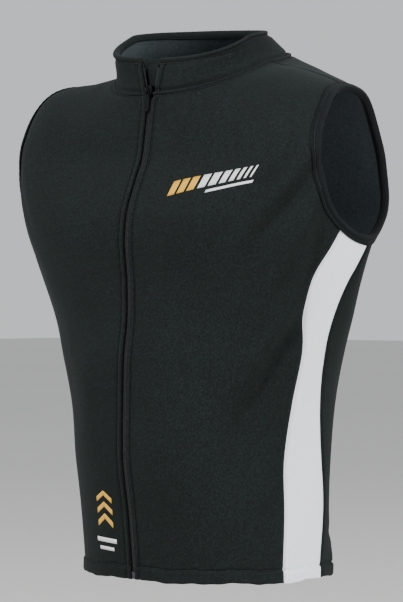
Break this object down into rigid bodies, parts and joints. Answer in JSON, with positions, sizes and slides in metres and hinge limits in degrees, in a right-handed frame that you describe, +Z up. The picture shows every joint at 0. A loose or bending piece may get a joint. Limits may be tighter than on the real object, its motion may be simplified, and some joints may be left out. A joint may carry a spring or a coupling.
{
  "type": "zip-front armour vest",
  "caption": "Sleeveless fitted motorcycle armour vest of black stretch cloth with white side panels, bound armholes, a stand collar and a full front zip, held as worn.",
  "frame": {"origin": "midway between the two shoulder seams, level with them, where the shoulders carry the vest", "axes": "Z up along the body, the front of the vest faces -Y, the wearer's left is +X"},
  "size_m": [0.4604, 0.2479, 0.6068],
  "materials": {
    "black_cloth": "closely knitted greenish black stretch cloth, matt with a soft sheen at the edges",
    "white_cloth": "smooth cool white stretch cloth",
    "binding_cloth": "dark grey folded elastic binding with a slight sheen",
    "lining_cloth": "navy black brushed lining",
    "zip_tape_cloth": "black woven zip tape",
    "zip_tooth": "black coil zip teeth",
    "zip_metal": "dark plated zip slider, pull, stops and box"
  },
  "bodies": {
    "vest": {"front_left": "black_cloth", "front_right": "black_cloth", "back_panel": "black_cloth", "side_panel_left": "white_cloth", "side_panel_right": "white_cloth", "armhole_binding_left": "binding_cloth", "armhole_binding_right": "binding_cloth", "collar": "black_cloth", "collar_facing": "lining_cloth", "zip_tape_left": "zip_tape_cloth", "zip_tape_right": "zip_tape_cloth", "zip_chain": "zip_tooth", "zip_teeth_left": "zip_tooth", "zip_teeth_right": "zip_tooth", "zip_top_stop_left": "zip_metal", "zip_top_stop_right": "zip_metal", "zip_box": "zip_metal", "zip_guard": "lining_cloth", "zip_slider": "zip_metal"},
    "pull": {"zip_pull": "zip_metal"}
  },
  "joints": [
    {"name": "pull_flip", "type": "hinge", "parent": "vest", "child": "pull", "pos_m": [0, -0.09289, -0.02236], "axis": [-1, 0, 0], "range_deg": [0, 150]}
  ]
}
